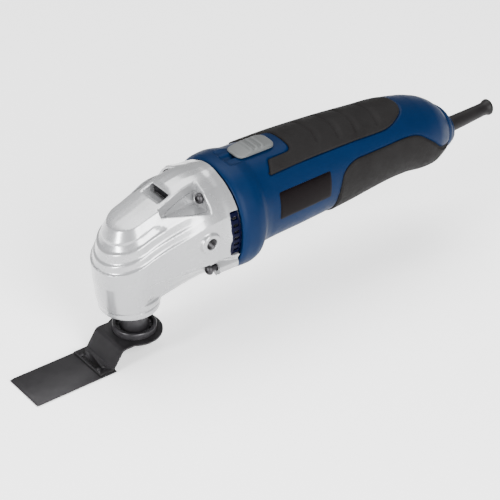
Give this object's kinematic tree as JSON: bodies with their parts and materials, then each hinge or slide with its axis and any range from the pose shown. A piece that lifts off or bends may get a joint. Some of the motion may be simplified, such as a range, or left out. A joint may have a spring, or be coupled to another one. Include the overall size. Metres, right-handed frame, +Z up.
{
  "type": "oscillating multi tool",
  "caption": "Corded oscillating multi tool: cast head, barrel motor housing with grips and slide switch, and a cranked straight blade clamped under the spindle.",
  "frame": {"origin": "middle of the tool's footprint, on the plane of the blade's underside", "axes": "+Y from the blade to the cord end along the motor's axis, +Z up along the spindle, +X to the tool's left side"},
  "size_m": [0.0776, 0.3976, 0.1245],
  "materials": {
    "silver_paint": "semi-gloss silver-grey paint on a casting",
    "blue_plastic": "satin moulded plastic",
    "navy_plastic": "dark moulded plastic",
    "grip_rubber": "matt soft-touch overmould",
    "sleeve_rubber": "smooth dark rubber",
    "switch_plastic": "mid-grey moulded plastic",
    "black_plastic": "black moulded plastic",
    "label_film": "blank printed film",
    "blade_steel": "black-oxide sheet steel",
    "dark_steel": "blackened machined steel",
    "bright_steel": "ground steel",
    "core_steel": "laminated or pressed steel",
    "copper": "enamelled copper wire and copper bars",
    "brass": "drawn brass",
    "carbon": "pressed carbon"
  },
  "bodies": {
    "housing": {"gearbox_housing": "silver_paint", "motor_housing": "blue_plastic", "rear_cap": "blue_plastic", "air_baffle": "navy_plastic", "top_grip": "grip_rubber", "lower_grip": "grip_rubber", "side_label": "label_film", "rating_label": "label_film", "switch_body": "black_plastic", "strain_relief": "sleeve_rubber", "cord_clamp": "black_plastic", "cord_clamp_screw_left": "bright_steel", "cord_clamp_screw_right": "bright_steel", "head_screw_upper_left": "dark_steel", "head_screw_upper_right": "dark_steel", "head_screw_lower_left": "dark_steel", "head_screw_lower_right": "dark_steel", "spindle_lower_bearing": "bright_steel", "spindle_upper_bearing": "bright_steel", "spindle_seal": "sleeve_rubber", "front_motor_bearing": "bright_steel", "rear_motor_bearing": "bright_steel", "rear_bearing_boot": "sleeve_rubber", "stator_core": "core_steel", "field_coil_upper": "copper", "field_coil_lower": "copper", "brush_holder_left": "brass", "brush_holder_right": "brass", "carbon_brush_left": "carbon", "carbon_brush_right": "carbon", "brush_spring_left": "bright_steel", "brush_spring_right": "bright_steel", "suppression_capacitor": "navy_plastic", "motor_bearing_plate": "core_steel"},
    "spindle": {"output_spindle": "bright_steel", "oscillating_fork": "core_steel", "spindle_retaining_ring": "dark_steel", "tool_flange": "dark_steel", "accessory_holder": "blade_steel", "blade": "blade_steel", "clamp_washer": "dark_steel", "clamp_screw": "dark_steel"},
    "rotor": {"armature_shaft": "bright_steel", "armature_core": "core_steel", "armature_winding_front": "copper", "armature_winding_rear": "copper", "commutator": "copper", "cooling_fan": "black_plastic", "eccentric": "bright_steel", "eccentric_bearing": "bright_steel"},
    "switch": {"switch_slider": "switch_plastic", "switch_link": "black_plastic"}
  },
  "joints": [
    {"name": "spindle_oscillation", "type": "hinge", "parent": "housing", "child": "spindle", "pos_m": [0, -0.11225, 0.06], "axis": [0, 0, 1], "range_deg": [-1.6, 1.6]},
    {"name": "rotor_spin", "type": "hinge", "parent": "housing", "child": "rotor", "pos_m": [0, 0, 0.0846], "axis": [0, 1, 0], "continuous": true},
    {"name": "switch_slide", "type": "slide", "parent": "housing", "child": "switch", "axis": [0, -1, 0], "range_m": [0, 0.008]}
  ]
}
